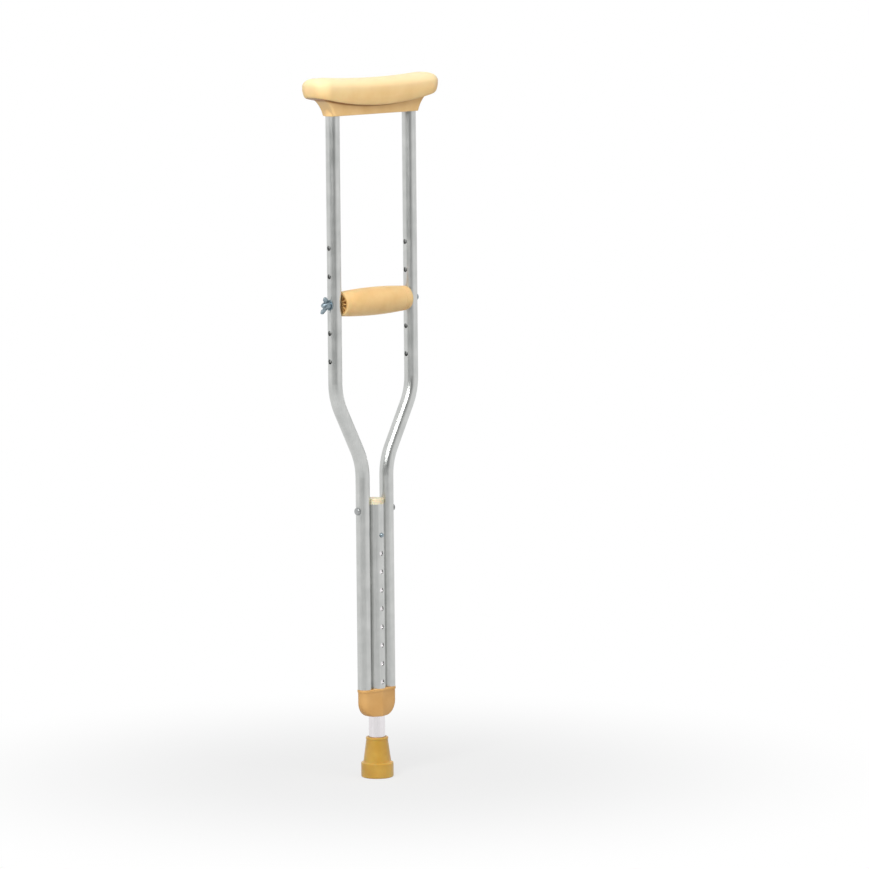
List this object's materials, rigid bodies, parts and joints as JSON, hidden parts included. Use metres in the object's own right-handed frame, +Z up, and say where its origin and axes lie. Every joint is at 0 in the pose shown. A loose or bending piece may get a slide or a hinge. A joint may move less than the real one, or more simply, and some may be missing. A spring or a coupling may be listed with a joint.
{
  "type": "underarm crutch",
  "caption": "Height-adjustable underarm crutch with a padded saddle, twin bent uprights, bolted handgrip and telescoping leg on a rubber tip.",
  "frame": {"origin": "middle of the rubber tip's underside, where it stands on the floor", "axes": "+Z up along the leg, +X across from the left to the right upright along the handgrip, and the row of height holes faces -Y"},
  "size_m": [0.224, 0.05, 0.9515],
  "materials": {
    "pad_rubber": "soft matte",
    "grip_rubber": "soft matte",
    "tip_rubber": "satin",
    "saddle_plastic": "matte",
    "connector_plastic": "matte",
    "cap_plastic": "matte",
    "tube_aluminium": "satin anodised",
    "leg_aluminium": "satin anodised",
    "rivet_aluminium": "plain",
    "zinc_steel": "zinc plated",
    "spring_steel": "bright"
  },
  "bodies": {
    "frame": {"underarm_pad": "pad_rubber", "saddle": "saddle_plastic", "saddle_screws": "zinc_steel", "left_upright": "tube_aluminium", "right_upright": "tube_aluminium", "guide_tube": "tube_aluminium", "guide_tube_cap": "cap_plastic", "cross_rivet": "rivet_aluminium", "lower_connector": "connector_plastic", "connector_rivets": "rivet_aluminium", "grip_bolt": "zinc_steel"},
    "leg": {"leg_tube": "leg_aluminium", "leg_bush": "cap_plastic", "snap_spring": "spring_steel", "rubber_tip": "tip_rubber", "tip_washer": "zinc_steel"},
    "button": {"snap_button": "zinc_steel"},
    "grip": {"handgrip_sleeve": "grip_rubber", "handgrip_core": "saddle_plastic"},
    "nut_side_washer": {"nut_washer": "zinc_steel"},
    "nut": {"wing_nut": "zinc_steel"}
  },
  "joints": [
    {"name": "leg_slide", "type": "slide", "parent": "frame", "child": "leg", "axis": [0, 0, -1], "range_m": [0, 0.2], "deforming": ["snap_button"]},
    {"name": "snap_button_press", "type": "slide", "parent": "leg", "child": "button", "axis": [0, 1, 0], "range_m": [0, 0.0046], "stiffness_N_per_m": 1500, "deforming": ["snap_spring"]},
    {"name": "handgrip_turn", "type": "hinge", "parent": "frame", "child": "grip", "pos_m": [0, 0, 0.647], "axis": [1, 0, 0], "continuous": true},
    {"name": "wing_nut_travel", "type": "slide", "parent": "frame", "child": "nut_side_washer", "axis": [-1, 0, 0], "range_m": [0, 0.011]},
    {"name": "wing_nut_turn", "type": "hinge", "parent": "nut_side_washer", "child": "nut", "pos_m": [-0.0812, 0, 0.647], "axis": [-1, 0, 0], "range_deg": [0, 3960]}
  ],
  "couplings": [
    {"joint": "wing_nut_travel", "follows": "wing_nut_turn", "m_per_rad": 0.00015915}
  ]
}
